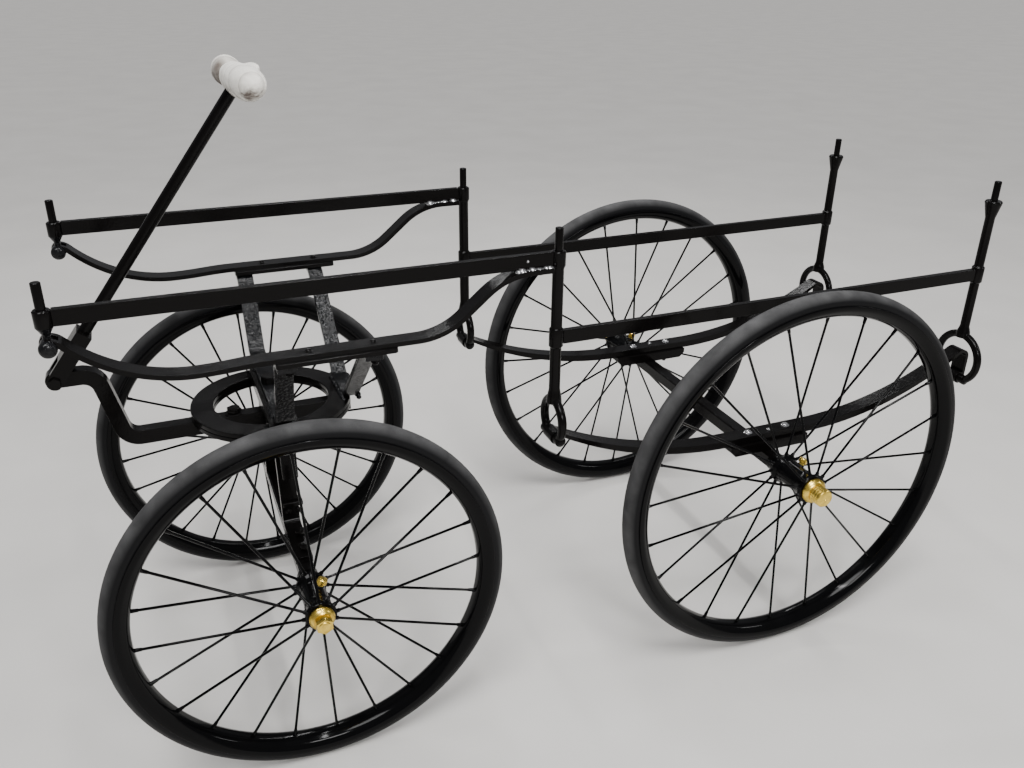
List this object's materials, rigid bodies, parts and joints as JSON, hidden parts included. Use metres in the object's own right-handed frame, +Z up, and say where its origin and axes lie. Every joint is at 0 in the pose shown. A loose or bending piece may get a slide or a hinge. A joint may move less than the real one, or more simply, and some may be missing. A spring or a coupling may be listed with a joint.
{
  "type": "horse-drawn carriage running gear",
  "caption": "Light carriage running gear with wire wheels, leaf springs on a flat-bar frame, fifth-wheel steering and a hinged draw pole with a padded cross grip.",
  "frame": {"origin": "on the floor below the middle of the overall box", "axes": "+X forward towards the draw pole's hinge, +Y to the carriage's left, +Z up"},
  "size_m": [1.797, 0.867, 1.1447],
  "materials": {
    "black_paint": "gloss black enamel on steel",
    "hammered_paint": "dark grey hammered paint on steel",
    "tyre": "solid black rubber, slightly worn",
    "brass": "polished brass, lightly tarnished",
    "wrap_cloth": "white padded cloth wrap"
  },
  "bodies": {
    "chassis": {"bolster": "black_paint", "front_eye_bolts": "black_paint", "front_post_left": "black_paint", "front_post_right": "black_paint", "front_rail_left": "black_paint", "front_rail_right": "black_paint", "front_spring_left": "black_paint", "front_spring_plate_left": "black_paint", "front_spring_plate_right": "black_paint", "front_spring_right": "black_paint", "front_yoke": "hammered_paint", "king_pin": "black_paint", "mid_post_left": "black_paint", "mid_post_right": "black_paint", "mid_shackle_pins": "black_paint", "rear_axle": "black_paint", "rear_post_left": "black_paint", "rear_post_right": "black_paint", "rear_rail_left": "black_paint", "rear_rail_right": "black_paint", "rear_saddle_left": "black_paint", "rear_saddle_right": "black_paint", "rear_shackle_pins": "black_paint", "rear_spring_left": "black_paint", "rear_spring_right": "black_paint", "rear_yoke": "hammered_paint", "upper_ring": "black_paint"},
    "fore_carriage": {"axle_bed": "black_paint", "front_axle": "black_paint", "gooseneck": "black_paint", "lower_ring": "black_paint", "pole_bolt": "black_paint"},
    "pole": {"draw_pole": "black_paint", "grip_wrap": "wrap_cloth"},
    "front_left_wheel": {"front_hub_brass_left": "brass", "front_tyre_left": "tyre", "front_wheel_left": "black_paint"},
    "front_right_wheel": {"front_hub_brass_right": "brass", "front_tyre_right": "tyre", "front_wheel_right": "black_paint"},
    "rear_left_wheel": {"rear_hub_brass_left": "brass", "rear_tyre_left": "tyre", "rear_wheel_left": "black_paint"},
    "rear_right_wheel": {"rear_hub_brass_right": "brass", "rear_tyre_right": "tyre", "rear_wheel_right": "black_paint"}
  },
  "joints": [
    {"name": "steering", "type": "hinge", "parent": "chassis", "child": "fore_carriage", "pos_m": [0.5405, 0, 0.54], "axis": [0, 0, 1], "range_deg": [-40, 40]},
    {"name": "pole_hinge", "type": "hinge", "parent": "fore_carriage", "child": "pole", "pos_m": [0.8835, 0, 0.655], "axis": [0, 1, 0], "range_deg": [0, 150]},
    {"name": "front_left_spin", "type": "hinge", "parent": "fore_carriage", "child": "front_left_wheel", "pos_m": [0.5405, 0.3125, 0.3302], "axis": [0, 1, 0], "continuous": true},
    {"name": "front_right_spin", "type": "hinge", "parent": "fore_carriage", "child": "front_right_wheel", "pos_m": [0.5405, -0.3125, 0.3302], "axis": [0, 1, 0], "continuous": true},
    {"name": "rear_left_spin", "type": "hinge", "parent": "chassis", "child": "rear_left_wheel", "pos_m": [-0.3915, 0.3505, 0.381], "axis": [0, 1, 0], "continuous": true},
    {"name": "rear_right_spin", "type": "hinge", "parent": "chassis", "child": "rear_right_wheel", "pos_m": [-0.3915, -0.3505, 0.381], "axis": [0, 1, 0], "continuous": true}
  ]
}
